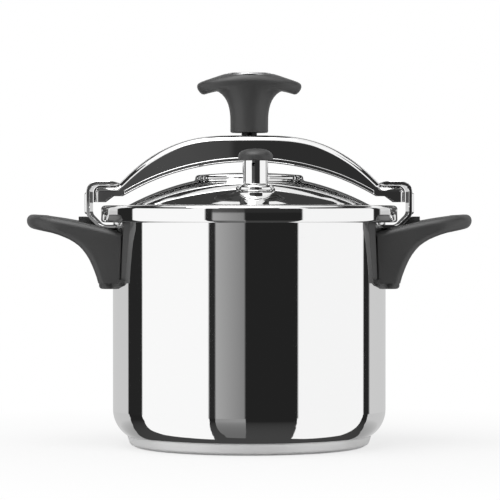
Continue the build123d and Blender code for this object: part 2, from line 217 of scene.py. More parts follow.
def pick(kind, test):
    shape = bmesh.from_edit_mesh(bpy.context.object.data)
    bpy.ops.mesh.select_mode(type=kind)
    bpy.ops.mesh.select_all(action='DESELECT')
    for part in {'VERT': shape.verts, 'EDGE': shape.edges, 'FACE': shape.faces}[kind]:
        if test(part):
            part.select_set(True)
    shape.select_flush_mode()
    bmesh.update_edit_mesh(bpy.context.object.data)


def placePicked(rule):
    shape = bmesh.from_edit_mesh(bpy.context.object.data)
    for corner in shape.verts:
        if corner.select:
            corner.co = rule(corner.co)
    bmesh.update_edit_mesh(bpy.context.object.data)


def applyPlace():
    bpy.ops.object.transform_apply(location=True, rotation=True, scale=True)


def drawLine(name, points):
    # a small plane is merged to one point, and the line is pulled out of it point by point
    leaveEdit()
    bpy.ops.mesh.primitive_plane_add(size=mm, location=points[0])
    piece = bpy.context.object
    piece.name = name
    applyPlace()
    bpy.ops.object.mode_set(mode='EDIT')
    bpy.ops.mesh.select_mode(type='VERT')
    pickAll()
    bpy.ops.mesh.merge(type='CENTER')
    for here, there in zip(points, points[1:]):
        bpy.ops.mesh.extrude_vertices_move(TRANSFORM_OT_translate={"value": there - here})
    return piece


def roundCorner(place, reach, steps):
    pick('VERT', lambda v: (v.co - place).length < 0.02 * mm)
    bpy.ops.mesh.bevel(offset=reach * mm, offset_type='OFFSET', segments=steps, affect='VERTICES')


def softenEdges(reach, steps):
    bpy.ops.mesh.bevel(offset=reach * mm, offset_type='OFFSET', segments=steps, affect='EDGES')


def closeSeams():
    pickAll()
    bpy.ops.mesh.remove_doubles(threshold=0.002 * mm)
    bpy.ops.mesh.normals_make_consistent(inside=False)


def pullEdges(x, y, z):
    bpy.ops.mesh.extrude_edges_move(TRANSFORM_OT_translate={"value": at(x, y, z)})


def pullFaces(way):
    bpy.ops.mesh.extrude_region_move(TRANSFORM_OT_translate={"value": way})


def fillLine(way):
    # a closed outline becomes a face, and the face a solid
    pickAll()
    bpy.ops.mesh.edge_face_add()
    pullFaces(way)


def turnProfile(name, line, rounds=(), x=0.0, y=0.0, steps=128):
    # line holds (radius, height); rounds holds (radius, height, reach, segments)
    piece = drawLine(name, [at(x + r, y, z) for r, z in line])
    for r, z, reach, segments in rounds:
        roundCorner(at(x + r, y, z), reach, segments)
    pickAll()
    bpy.ops.mesh.spin(steps=steps, angle=2 * pi, center=at(x, y, 0), axis=(0, 0, 1))
    closeSeams()
    leaveEdit()
    return piece


def useModifier(piece, kind, **settings):
    leaveEdit()
    bpy.context.view_layer.objects.active = piece
    piece.select_set(True)
    bpy.ops.object.modifier_add(type=kind)
    step = piece.modifiers[-1]
    for key, value in settings.items():
        setattr(step, key, value)
    bpy.ops.object.modifier_apply(modifier=step.name)


def softenCorners(piece, width, segments, fromAngle):
    useModifier(piece, 'BEVEL', width=width * mm, segments=segments, limit_method='ANGLE',
                angle_limit=radians(fromAngle))


def carve(piece, tool, operation='DIFFERENCE'):
    useModifier(piece, 'BOOLEAN', operation=operation, object=tool, solver='EXACT')
    bpy.data.objects.remove(tool, do_unlink=True)


def joinInto(piece, *others):
    leaveEdit()
    for part in (piece, *others):
        part.select_set(True)
    bpy.context.view_layer.objects.active = piece
    bpy.ops.object.join()


def rod(radius, start, end, along='Z', sides=64):
    # plain round tool for cutting holes, never a piece itself
    leaveEdit()
    start, end = Vector(start), Vector(end)
    turn = {'X': (0, pi / 2, 0), 'Y': (pi / 2, 0, 0), 'Z': (0, 0, 0)}[along]
    bpy.ops.mesh.primitive_cylinder_add(vertices=sides, radius=radius * mm, depth=(end - start).length,
                                        location=(start + end) / 2, rotation=turn)
    applyPlace()
    return bpy.context.object


def softBlock(name, low, high, radius, steps):
    leaveEdit()
    low, high = at(*low), at(*high)
    bpy.ops.mesh.primitive_cube_add(size=1, location=(low + high) / 2)
    piece = bpy.context.object
    piece.name = name
    piece.scale = high - low
    applyPlace()
    bpy.ops.object.mode_set(mode='EDIT')
    pickAll()
    softenEdges(radius, steps)
    leaveEdit()
    return piece


def plateOf(name, corners, rounds, way):
    # flat outline with soft corners, pulled to a solid
    plate = drawLine(name, corners)
    for corner, reach in zip(corners, rounds):
        roundCorner(corner, reach, 7)
    fillLine(way)
    closeSeams()
    leaveEdit()
    return plate


def halfTurnCopy(piece, name):
    leaveEdit()
    piece.select_set(True)
    bpy.context.view_layer.objects.active = piece
    bpy.ops.object.duplicate()
    twin = bpy.context.object
    twin.name = name
    bpy.ops.object.mode_set(mode='EDIT')
    pickAll()
    bpy.ops.transform.rotate(value=pi, orient_axis='Z', center_override=(0, 0, 0))
    leaveEdit()
    return twin


def finishPiece(piece, body, slot, look, *stoodFor, angle=35):
    leaveEdit()
    piece.select_set(True)
    bpy.context.view_layer.objects.active = piece
    applyPlace()
    bpy.ops.object.shade_smooth_by_angle(angle=radians(angle))
    useModifier(piece, 'WEIGHTED_NORMAL', keep_sharp=True)
    piece.data.materials.clear()
    piece.data.materials.append(look)
    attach(piece, body)
    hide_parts(*stoodFor)
    piece.select_set(False)
    print("made", piece.name, len(piece.data.polygons), "faces")


def smoothLine(points, steps):
    # soft line through a few measured points
    points = [Vector((*p, 0)) for p in points]
    ends = [2 * points[0] - points[1], *points, 2 * points[-1] - points[-2]]
    line = []
    for a, b, c, d in zip(ends, ends[1:], ends[2:], ends[3:]):
        line += interpolate_bezier(b, b + (c - a) / 6, c - (d - b) / 6, c, steps + 1)[:-1]
    return [(p.x, p.y) for p in line] + [(points[-1].x, points[-1].y)]


def heightOn(line, x):
    for (x0, z0), (x1, z1) in zip(line, line[1:]):
        if x0 <= x <= x1:
            return z0 + (z1 - z0) * (x - x0) / (x1 - x0)
    return line[-1][1] if x > line[-1][0] else line[0][1]


# Pot and base

pot = {"radius": 111.0, "wall": 1.0, "corner": 25.0, "floor": 5.2, "rimHeight": 187.4, "rimRadius": 116.0,
       "rimBend": 2.5, "bead": 1.6}


def makePot():
    half = pot["wall"] / 2
    wall = pot["radius"] - half
    floor = pot["floor"] + half
    top = pot["rimHeight"] - half
    line = [(0, floor), (wall, floor), (wall, top), (pot["rimRadius"], top)]
    rounds = [(wall, floor, pot["corner"] - half, 18), (wall, top, pot["rimBend"], 5)]
    piece = turnProfile("potWall", line, rounds, steps=wideSteps)
    useModifier(piece, 'SOLIDIFY', thickness=pot["wall"] * mm, offset=0.0)
    leaveEdit()
    bpy.ops.mesh.primitive_torus_add(location=at(0, 0, pot["rimHeight"] - pot["bead"]),
                                     major_segments=wideSteps, minor_segments=14,
                                     major_radius=pot["rimRadius"] * mm, minor_radius=pot["bead"] * mm)
    bead = bpy.context.object
    applyPlace()
    joinInto(piece, bead)
    finishPiece(piece, "pot", "polished_steel", polishedSteel, "pot_body")


base = {"foot": 93.0, "waist": 97.3, "waistHeight": 2.2, "top": 99.5, "height": 9.15, "lip": (97.0, 7.6),
        "rings": (26.0, 52.0, 56.0), "ringEdge": 0.6, "ringDepth": 0.5}


def makeBase():
    level = base["ringDepth"]
    line = [(0, level)]
    for ring in base["rings"]:  # underside steps in and out
        line.append((ring, level))
        level = base["ringDepth"] - level
        line.append((ring + base["ringEdge"], level))
    foot, waist = (base["foot"], 0), (base["waist"], base["waistHeight"])
    top = (base["top"], base["height"])
    rounds = [(*foot, 0.9, 4), (*waist, 1.2, 4), (*top, 0.3, 2)]
    piece = turnProfile("baseShell", [*line, foot, waist, top, base["lip"]], rounds, steps=wideSteps)
    finishPiece(piece, "pot", "satin_steel", satinSteel, "base_shell")


makePot()
makeBase()
print("pot and base done")


# Lid with its two stamped valve seats

lid = {"radius": 120.6, "skirt": 182.1, "brim": 195.8, "ball": 207.7, "ballCentre": 13.1, "step": 44.0,
       "crown": 484.0, "top": 222.3, "sheet": 1.2, "hem": 2.6, "soft": 0.55,
       "drillLow": 188, "drillTop": 240}
valve = {"x": 4.9, "y": -69.0, "seat": 206.4, "seatRadius": 15.6, "collar": 14.5, "collarTop": 211.8,
         "collarEdge": 9.4, "collarFloor": 8.6, "collarDish": 0.5, "pipe": 4.0, "shank": 5.0, "bore": 1.6,
         "pipeLow": 196, "pipeTop": 221, "weight": 9.9, "weightLow": 212.2, "weightTop": 231.5,
         "hollow": 5.6, "roof": 1.9, "needleHole": 1.65, "jet": 1.4, "jetHeight": 228, "jetShift": 1.6,
         "capFloor": 231.6,
         "capDome": [(13.8, 231.5), (13.8, 234.6), (13.4, 236.0), (12.5, 237.3), (11.0, 238.5),
                     (8.8, 239.5), (6.0, 240.2), (3.0, 240.5), (0, 240.6)]}
safety = {"x": 0.0, "y": 66.0, "seat": 208.4, "seatRadius": 11.0,
          "coil": 3.25, "wire": 0.33, "coilLow": 204.4, "coilTop": 213.0, "turns": 6}


def domeHeight(reach):
    return lid["ballCentre"] + sqrt(lid["ball"] ** 2 - reach ** 2)


def crownHeight(reach):
    return lid["top"] - lid["crown"] + sqrt(lid["crown"] ** 2 - reach ** 2)


def stampedSeat(place):
    # flat floor, soft edge and a wall that meets the dome all the way round
    leaveEdit()
    x, y, seat, radius = place["x"], place["y"], place["seat"], place["seatRadius"]
    bpy.ops.mesh.primitive_circle_add(vertices=smallSteps, radius=(radius - 1) * mm, fill_type='NGON',
                                      location=at(x, y, seat))
    piece = bpy.context.object
    applyPlace()
    bpy.ops.object.mode_set(mode='EDIT')
    pick('EDGE', lambda e: e.is_boundary)
    for share, inset in ((0.3, 0.3), (1.0, 0.0), (None, 0.0)):  # two soft steps, then up to the dome
        pullEdges(0, 0, 0)

        def seatWall(co):
            angle = atan2(co.y - y * mm, co.x - x * mm)
            px = x + (radius - inset) * cos(angle)
            py = y + (radius - inset) * sin(angle)
            rise = domeHeight(sqrt(px ** 2 + py ** 2)) - seat
            soft = max(-1.0, min(1.0, rise))
            return at(px, py, seat + (rise if share is None else share * soft))
        placePicked(seatWall)
    pickAll()
    bpy.ops.mesh.normals_make_consistent(inside=False)
    leaveEdit()
    return piece


def makeLid():
    step, edge, brim, skirt = lid["step"], lid["radius"], lid["brim"], lid["skirt"]
    foot = sqrt(lid["ball"] ** 2 - (brim - lid["ballCentre"]) ** 2)
    crown = [(step * i / 8, crownHeight(step * i / 8)) for i in range(9)]
    dome = [(step + (foot - step) * i / 24, domeHeight(step + (foot - step) * i / 24)) for i in range(25)]
    line = crown + dome + [(edge, brim), (edge, skirt), (edge - lid["hem"], skirt)]
    rounds = [(step, crownHeight(step), 2.5, 6), (step, domeHeight(step), 1.4, 4), (foot, brim, 1.3, 4),
              (edge, brim, 3.3, 7), (edge, skirt, 2.2, 6)]
    piece = turnProfile("lidShell", line, rounds, steps=wideSteps)
    useModifier(piece, 'SOLIDIFY', thickness=lid["sheet"] * mm, offset=-1.0)
    softenCorners(piece, lid["soft"], 4, 60)
    seats = []
    for place in (valve, safety):
        low, high = at(place["x"], place["y"], lid["drillLow"]), at(place["x"], place["y"], lid["drillTop"])
        carve(piece, rod(place["seatRadius"], low, high, sides=smallSteps))
        seats.append(stampedSeat(place))
    joinInto(piece, *seats)
    finishPiece(piece, "lid", "polished_steel", polishedSteel, "lid", angle=28)


makeLid()


# Working valve: collar and pipe, weight with its jet hole, black cap

def makeValve():
    x, y, seat = valve["x"], valve["y"], valve["seat"]
    collar, top, floor = valve["collar"], valve["collarTop"], valve["collarTop"] - valve["collarDish"]
    pipe, shank, bore = valve["pipe"], valve["shank"], valve["bore"]
    pipeLow, pipeTop = valve["pipeLow"], valve["pipeTop"]
    line = [(bore, pipeLow), (shank, pipeLow), (shank, seat), (collar, seat), (collar, top),
            (valve["collarEdge"], top), (valve["collarFloor"], floor), (pipe, floor),
            (pipe, pipeTop), (bore, pipeTop), (bore, pipeLow)]
    rounds = [(collar, seat, 2.5, 7), (collar, top, 2.5, 7), (pipe, pipeTop, 0.6, 2)]
    piece = turnProfile("ventPipe", line, rounds, x, y, smallSteps)
    finishPiece(piece, "lid", "polished_steel", polishedSteel, "vent_pipe")

    wide, low, high = valve["weight"], valve["weightLow"], valve["weightTop"]
    hollow, hole, roof = valve["hollow"], valve["needleHole"], high - valve["roof"]
    line = [(hollow, low), (wide, low), (wide, high), (hole, high), (hole, roof), (hollow, roof),
            (hollow, low)]
    weight = turnProfile("valveWeight", line, [(wide, low, 0.8, 3), (wide, high, 0.6, 3)], x, y, smallSteps)
    jetX, jetZ = x - valve["jetShift"], valve["jetHeight"]
    carve(weight, rod(valve["jet"], at(jetX, y - 14, jetZ), at(jetX, y - 3, jetZ), 'Y', 32))
    finishPiece(weight, "weight", "polished_steel", polishedSteel, "valve_weight")

    dome = valve["capDome"]
    line = [(0, valve["capFloor"]), (12.4, valve["capFloor"]), (12.8, dome[0][1]), *dome]
    cap = turnProfile("valveCap", line, [(*dome[0], 0.7, 3)], x, y, smallSteps)
    finishPiece(cap, "weight", "black_phenolic", blackPhenolic, "valve_cap")


def makeSpring():
    # drawn as it stands when the plunger is up, so that it never runs into the plunger's foot
    leaveEdit()
    low, high, turns = safety["coilLow"], safety["coilTop"], safety["turns"]
    bpy.ops.mesh.primitive_circle_add(vertices=12, radius=safety["wire"] * mm, fill_type='NOTHING',
                                      rotation=(pi / 2, 0, 0), location=at(safety["coil"], 0, low))
    spring = bpy.context.object
    spring.name = "safetyCoil"
    applyPlace()
    useModifier(spring, 'SCREW', angle=2 * pi, screw_offset=(high - low) / turns * mm, iterations=turns,
                steps=32, render_steps=32, use_merge_vertices=True)
    bpy.ops.object.mode_set(mode='EDIT')
    for height in (low, high):
        pick('EDGE', lambda e: e.is_boundary and abs(e.verts[0].co.z - height * mm) < 0.5 * mm)
        bpy.ops.mesh.edge_face_add()
    closeSeams()
    bpy.ops.transform.translate(value=at(safety["x"], safety["y"], 0))
    finishPiece(spring, "lid", "satin_steel", platedSteel, "safety_spring")


makeValve()
makeSpring()
print("lid and valves done")


# Bridge: folded arch with a rolled lower edge, and closed ends that tuck under the brackets

bridge = {
    "crown": [(0, 252.4), (12, 252.4), (24, 252.16), (36, 251.19), (48, 249.0), (60, 245.27), (72, 239.79),
              (84, 232.32), (94, 224.3), (100, 218.72), (105.7, 213.1)],
    "tongue": [(107.03, 212.21), (108.6, 211.9), (110.9, 211.9), (117.6, 211.9), (126.2, 211.9)],
    "under": [(0, 231.6), (12, 231.25), (24, 230.2), (36, 228.44), (48, 225.99), (60, 222.81), (72, 218.8),
              (84, 213.8), (94, 208.82), (101, 205.0)],
    "tooth": [(103.8, 203.4), (110.9, 203.4), (117.6, 198.5), (126.2, 198.5)],
    "plan": [(0, 21.0), (20, 20.56), (40, 19.4), (55, 18.25), (70, 17.06), (85, 16.08), (105.7, 15.5),
             (127, 15.5)],
    "columns": [4 * i for i in range(25)] + [98.5],
    "sheet": 2.2, "fold": 5.6, "corner": 5.0, "hem": 3.0, "hemProud": 1.0, "hemTuck": 0.4, "hemLean": 0.4,
    "hemSoft": 0.45, "hemEnd": 102.0, "neckHole": 6.7,
}


def bothHalves(values):
    return [-v for v in reversed(values) if v > 0] + list(values)


def makeBridge():
    topLine = smoothLine(bridge["crown"], 6) + bridge["tongue"]
    lowLine = smoothLine(bridge["under"], 6) + bridge["tooth"]
    plan = smoothLine(bridge["plan"], 6)
    corners = [bridge["crown"][-1], *bridge["tongue"], bridge["under"][-1], *bridge["tooth"]]
    columns = bothHalves(bridge["columns"] + sorted({x for x, z in corners}))
    arch = drawLine("bridgeArch", [at(x, -10, heightOn(topLine, abs(x))) for x in columns])
    pickAll()
    pullEdges(0, 20, 0)
    pickAll()
    placePicked(lambda c: Vector((c.x, (1 if c.y > 0 else -1) * heightOn(plan, abs(c.x) / mm) * mm, c.z)))
    (endX, endZ), endY = bridge["tongue"][-1], bridge["plan"][-1][1]
    for sx in (-1, 1):
        for sy in (-1, 1):
            roundCorner(at(sx * endX, sy * endY, endZ), bridge["corner"], 6)
    pick('EDGE', lambda e: e.is_boundary)
    pullEdges(0, 0, -10)
    placePicked(lambda c: Vector((c.x, c.y, heightOn(lowLine, abs(c.x) / mm) * mm)))
    closeSeams()
    pick('EDGE', lambda e: len(e.link_faces) == 2 and e.calc_face_angle() > radians(50) and
         (abs(e.verts[0].co.y) > 9 * mm or abs(e.verts[0].co.x) > 120 * mm))
    softenEdges(bridge["fold"], 7)
    useModifier(arch, 'SOLIDIFY', thickness=bridge["sheet"] * mm, offset=-1.0)
    carve(arch, rod(bridge["neckHole"], at(0, 0, 245), at(0, 0, 258)))

    tuck, proud = bridge["hemTuck"], bridge["hemProud"]
    hems = []
    for side in (-1, 1):
        points = []
        for x in columns:
            if abs(x) < bridge["hemEnd"]:
                points.append(at(x, side * (heightOn(plan, abs(x)) - tuck), heightOn(lowLine, abs(x))))
        hem = drawLine("hem", points)
        pickAll()
        pullEdges(0, 0, bridge["hem"])
        pickAll()
        pullFaces(at(0, side * (tuck + proud), 0))
        pick('VERT', lambda v: abs(v.co.y) / mm > heightOn(plan, abs(v.co.x) / mm) + proud / 2 and
             v.co.z / mm > heightOn(lowLine, abs(v.co.x) / mm) + bridge["hem"] / 2)
        bpy.ops.transform.translate(value=at(0, -side * bridge["hemLean"], 0))
        closeSeams()
        softenCorners(hem, bridge["hemSoft"], 3, 40)
        hems.append(hem)
    joinInto(arch, *hems)
    finishPiece(arch, "bridge", "polished_steel", polishedSteel, "bridge", angle=30)


makeBridge()


# Brackets: bent strip with a thinned nose and a pressed rib outside

bracket = {"sheet": 3.0, "halfWidth": 23.0, "soft": 0.6, "potWall": 110.7, "middle": 200.0,
           "path": [(108.6, 178.6), (120.6, 178.6), (130.1, 188.4), (130.1, 213.8), (112.6, 213.8),
                    (110.2, 213.8), (106.2, 213.8)],
           "bends": [(1, 2.6, 5), (2, 2.6, 5), (3, 7.2, 9)],  # point of the path, reach, segments
           "noseFrom": 107.0, "noseDrop": 1.3, "noseLift": 1.0, "softTop": 111.0, "softFoot": 108.0,
           "softFrom": 109.5,
           "ribLow": (129.6, -8, 188.6), "ribHigh": (133.8, 8, 206.6), "ribSoft": 1.9}


def makeBrackets():
    path, wide, middle = bracket["path"], bracket["halfWidth"], bracket["middle"] * mm
    strip = drawLine("bracketRight", [at(x, -wide, z) for x, z in path])
    for number, reach, segments in bracket["bends"]:
        x, z = path[number]
        roundCorner(at(x, -wide, z), reach, segments)
    pickAll()
    for i in range(8):
        pullEdges(0, wide / 4, 0)
    pick('VERT', lambda v: v.co.x < 109 * mm and v.co.z < middle)
    potWall = bracket["potWall"] * mm
    placePicked(lambda c: Vector((sqrt(potWall ** 2 - c.y ** 2), c.y, c.z)))  # root follows the pot
    closeSeams()
    useModifier(strip, 'SOLIDIFY', thickness=bracket["sheet"] * mm, offset=0.0)
    enterEdit(strip)
    noseFrom, noseHeight = bracket["noseFrom"] * mm, path[-1][1] * mm
    pick('VERT', lambda v: v.co.x < noseFrom and v.co.z > noseHeight)
    bpy.ops.transform.translate(value=at(0, 0, -bracket["noseDrop"]))
    pick('VERT', lambda v: v.co.x < noseFrom and middle < v.co.z < noseHeight)
    bpy.ops.transform.translate(value=at(0, 0, bracket["noseLift"]))
    enterEdit(strip)

    def sideEdge(edge):
        ends = [v.co for v in edge.verts]
        sharp = edge.calc_face_angle(0) > radians(50)
        onSide = all(abs(abs(v.y) - wide * mm) < 0.01 * mm for v in ends)
        clear = all(v.x > (bracket["softTop"] if v.z > middle else bracket["softFoot"]) * mm for v in ends)
        return sharp and onSide and clear and max(v.x for v in ends) > bracket["softFrom"] * mm
    pick('EDGE', sideEdge)
    softenEdges(bracket["soft"], 6)
    leaveEdit()
    softenCorners(strip, 0.2, 2, 60)
    joinInto(strip, softBlock("rib", bracket["ribLow"], bracket["ribHigh"], bracket["ribSoft"], 5))
    twin = halfTurnCopy(strip, "bracketLeft")
    finishPiece(strip, "pot", "polished_steel", polishedSteel, "bracket_right")
    finishPiece(twin, "pot", "polished_steel", polishedSteel, "bracket_left")


makeBrackets()
print("bridge and brackets done")


# Handles: moulded grip with soft cheeks, saddle round the pot, lug behind the bracket

handle = {
    "top": [(99.0, 173.4), (112, 176.9), (120, 178.85), (130, 181.2), (141, 183.5), (152, 185.5),
            (168, 187.9), (180.4, 188.9)],
    "under": [(180.4, 178.0), (158.5, 173.7), (153.09, 172.1), (148.7, 170.4), (144.35, 168.5),
              (140.4, 166.2), (136.55, 163.4), (133.4, 160.1), (130.49, 156.3), (128.1, 152.3),
              (125.94, 147.8), (124.1, 143.3), (122.4, 138.6), (120.9, 133.3), (99.0, 133.3)],
    "rootHalf": 47.5, "tipHalf": 38.5, "tip": 180.4, "tipRound": 29.0, "soft": 5.2, "potWall": 111.05,
    "screwHole": 5.2, "screwHeight": 150, "screwFrom": 121.5, "screwTo": 161.5,
    # groove where the cheek meets the saddle: height and width at its foot and top, then how deep
    "grooveLow": (120, 1.7), "grooveTop": (172, 1.9), "grooveIn": 44, "grooveOut": 52,
    # saddle in plan, at its foot and at its top
    "saddleLow": [(80, 49.6), (99.2, 49.6), (102.6, 46.0), (102.6, -46.0), (99.2, -49.6), (80, -49.6)],
    "saddleHigh": [(80, 59.6), (93.4, 59.6), (100.2, 52.4), (100.2, -52.4), (93.4, -59.6), (80, -59.6)],
    "saddleTop": 182.3, "saddleSoft": 0.8, "footLow": 128.3, "footHigh": 134.0, "footSoft": 2.6,
    "foot": [(100, 25), (121.6, 25), (121.6, -25), (100, -25)], "footRounds": (0.2, 9, 9, 0.2),
    "underside": [(23.4, 128.3), (34, 129.5), (45.4, 131.6), (49.0, 133.3), (51.0, 136.5)], "collar": 114.2,
    "lug": [(138.2, 186.8), (131.8, 186.8), (122.6, 177.4), (122.6, 174), (138.2, 174)], "lugHalf": 13.0,
    "lugRounds": (2, 2, 0.2, 0.2, 0.2), "lugSoft": 1.2,
}


def potPlug(radius):
    return rod(radius, at(0, 0, 100), at(0, 0, 200), sides=wideSteps)


def grooveTool(side):
    (lowZ, lowWide), (topZ, topWide) = handle["grooveLow"], handle["grooveTop"]
    low, high = handle["saddleLow"][2][0], handle["saddleHigh"][2][0]
    start, deep = side * handle["grooveIn"], side * (handle["grooveOut"] - handle["grooveIn"])
    corners = [at(low, start, lowZ), at(low + lowWide, start, lowZ), at(high + topWide, start, topZ),
               at(high, start, topZ)]
    return plateOf("groove", corners, [0.1] * 4, at(0, deep, 0))


def makeGrip():
    outline = handle["top"] + handle["under"]
    rootX, footZ = outline[-1]
    root, tip, end = handle["rootHalf"], handle["tipHalf"], handle["tip"]
    wide = root + 4  # more than the plan leaves
    grip = drawLine("handleRight", [at(x, wide, z) for x, z in outline])
    fillLine(at(0, -2 * wide, 0))
    closeSeams()
    plan = drawLine("gripPlan", [at(90, root, 100), at(end, tip, 100), at(end, -tip, 100),
                                 at(90, -root, 100)])
    roundCorner(at(end, tip, 100), handle["tipRound"], 10)
    roundCorner(at(end, -tip, 100), handle["tipRound"], 10)
    fillLine(at(0, 0, 110))
    closeSeams()
    leaveEdit()
    carve(grip, plan, 'INTERSECT')
    start, stop, height = handle["screwFrom"], handle["screwTo"], handle["screwHeight"]
    carve(grip, rod(handle["screwHole"], at(start, 0, height), at(stop, 0, height), 'X'))
    bpy.ops.object.mode_set(mode='EDIT')
    closeSeams()

    def onRim(edge):
        a, b = edge.verts[0].co, edge.verts[1].co
        if len(edge.link_faces) != 2 or edge.calc_face_angle() < radians(45):
            return False
        if max(a.z, b.z) < (footZ + 0.2) * mm:
            return False  # the foot carries on below
        upright = abs(a.x - b.x) < 0.01 * mm and abs(a.y - b.y) < 0.01 * mm
        alongSide = max(a.x, b.x) > (rootX + 0.2) * mm and not upright and abs(a.y + b.y) > 20 * mm
        return alongSide or min(a.x, b.x) > (end - 0.2) * mm
    pick('EDGE', onRim)
    softenEdges(handle["soft"], 6)
    pickAll()
    bpy.ops.mesh.dissolve_degenerate(threshold=0.002 * mm)  # the next cuts need a closed skin
    leaveEdit()
    carve(grip, potPlug(handle["potWall"]))
    for side in (-1, 1):
        carve(grip, grooveTool(side))
    return grip


def makeSaddle():
    foot, top = handle["footLow"], handle["saddleTop"]
    low, high = handle["saddleLow"], handle["saddleHigh"]
    plate = drawLine("saddle", [at(x, y, foot) for x, y in low])
    fillLine(at(0, 0, top - foot))
    for (x, y), (topX, topY) in zip(low, high):
        pick('VERT', lambda v: (v.co - at(x, y, top)).length < 0.02 * mm)
        bpy.ops.transform.translate(value=at(topX - x, topY - y, 0))
    closeSeams()
    leaveEdit()
    softenCorners(plate, handle["saddleSoft"], 3, 30)

    heel = plateOf("heel", [at(x, y, foot) for x, y in handle["foot"]], handle["footRounds"],
                   at(0, 0, handle["footHigh"] - foot))
    enterEdit(heel)
    pick('EDGE', lambda e: all(v.co.z < (foot + 0.1) * mm and v.co.x > 101 * mm for v in e.verts))
    softenEdges(handle["footSoft"], 5)
    leaveEdit()

    rise = handle["underside"]
    startX, across = low[0][0], at(40, 0, 0)
    for side in (-1, 1):  # the underside rises round the pot
        below = [*rise, (70, 150), (70, 120), (rise[0][0], 120)]
        corners = [at(startX, side * y, z) for y, z in below]
        carve(plate, plateOf("under", corners, [0.1] * len(corners), across))
    corners = [at(startX, -y, z) for y, z in reversed(rise)] + [at(startX, y, z) for y, z in rise]
    rim = plateOf("rim", corners, [0.1] * len(corners), across)
    carve(rim, potPlug(handle["collar"]), 'INTERSECT')
    for part in (plate, heel, rim):
        carve(part, potPlug(handle["potWall"]))
    joinInto(plate, heel, rim)
    return plate


def makeHandles():
    grip = makeGrip()
    half = handle["lugHalf"]
    lug = plateOf("lug", [at(x, half, z) for x, z in handle["lug"]], handle["lugRounds"],
                  at(0, -2 * half, 0))
    softenCorners(lug, handle["lugSoft"], 3, 60)
    joinInto(grip, makeSaddle(), lug)
    twin = halfTurnCopy(grip, "handleLeft")
    finishPiece(grip, "pot", "black_phenolic", blackPhenolic, "handle_right", angle=40)
    finishPiece(twin, "pot", "black_phenolic", blackPhenolic, "handle_left", angle=40)


makeHandles()
print("handles done")


# Knob: round stem that flares into an oval wing with hanging lips, and a flat disc on top

knob = {
    # half length, half depth, height at the ends, height at the front
    "rings": [(7.0, 7.0, 255.0, 255.0), (14.3, 14.3, 255.0, 255.0), (15.1, 15.1, 255.3, 255.3),
              (15.4, 15.4, 256.1, 256.1), (15.4, 15.4, 262, 262), (15.5, 15.5, 268, 268),
              (15.8, 15.7, 271.5, 271.5), (16.4, 16.0, 275, 274.5), (17.3, 16.4, 278.2, 277.3),
              (18.6, 16.9, 281.3, 280), (20.4, 17.4, 284.1, 282.6), (22.6, 17.9, 286.5, 285),
              (25.2, 18.4, 288.3, 287.2), (28.4, 18.9, 289.2, 289.2), (32.0, 19.3, 288.5, 291),
              (35.2, 19.65, 286.9, 292.3), (36.9, 19.9, 286.1, 293.2), (38.6, 20.1, 286.4, 293.9),
              (40.6, 20.3, 288.1, 294.6), (42.0, 20.45, 290.3, 295.3), (42.5, 20.55, 292.2, 295.9),
              (42.3, 20.6, 293.8, 296.6), (41.5, 20.45, 295.0, 297.4), (39.5, 20.1, 296.2, 298.6),
              (36.0, 19.6, 297.5, 299.6), (30.0, 19.2, 299.5, 300.4), (24.5, 18.9, 301.4, 300.8),
              (20.5, 18.75, 302.6, 301.0), (19.0, 18.65, 302.9, 301.1), (18.5, 18.5, 302.8, 301.0),
              (18.45, 18.45, 300.4, 300.4), (8.0, 8.0, 300.4, 300.4)],
    "disc": 18.3, "discLow": 300.4, "discTop": 303.5, "discRound": 1.7, "rimWide": 2.8, "rimSlope": 0.5,
    "dish": 0.35, "neckHole": 6.32,
}


def loftRings(name, rings, count):
    leaveEdit()
    bpy.ops.mesh.primitive_circle_add(vertices=count, radius=1.0, fill_type='NOTHING')
    piece = bpy.context.object
    piece.name = name
    bpy.ops.object.mode_set(mode='EDIT')
    pickAll()
    last = (1.0, 1.0)
    for number, (a, b, endHeight, frontHeight) in enumerate(rings):
        if number:
            pullEdges(0, 0, 0)

        def ringPlace(co):
            angle = atan2(co.y / last[1], co.x / last[0])
            height = frontHeight + (endHeight - frontHeight) * cos(angle) ** 2
            return at(a * cos(angle), b * sin(angle), height)
        placePicked(ringPlace)
        last = (a, b)
    for height in (rings[0][2], rings[-1][2]):
        pick('EDGE', lambda e: e.is_boundary and abs(e.verts[0].co.z - height * mm) < 0.01 * mm)
        bpy.ops.mesh.edge_face_add()
    closeSeams()
    leaveEdit()
    return piece


def makeKnob():
    wing = loftRings("knobWing", knob["rings"], 128)
    carve(wing, rod(knob["neckHole"], at(0, 0, 250), at(0, 0, 262)))
    finishPiece(wing, "knob", "black_phenolic", blackPhenolic, "knob", angle=40)
    wide, low, high = knob["disc"], knob["discLow"], knob["discTop"]
    rim, floor = wide - knob["rimWide"], high - knob["dish"]
    line = [(0, floor), (rim - knob["rimSlope"], floor), (rim, high), (wide, high), (wide, low), (0, low)]
    disc = turnProfile("knobDisc", line, [(wide, high, knob["discRound"], 7)], steps=128)
    finishPiece(disc, "knob", "disc_aluminium", facedAluminium, "knob_disc")


screw = {"foot": 225.2, "thread": 228.0, "threadTop": 252.0, "pitch": 2.0, "root": 4.35, "crest": 5.0,
         "tip": 3.4, "core": 4.4, "neck": 6.3, "neckLow": 252.8, "neckTop": 262.0}


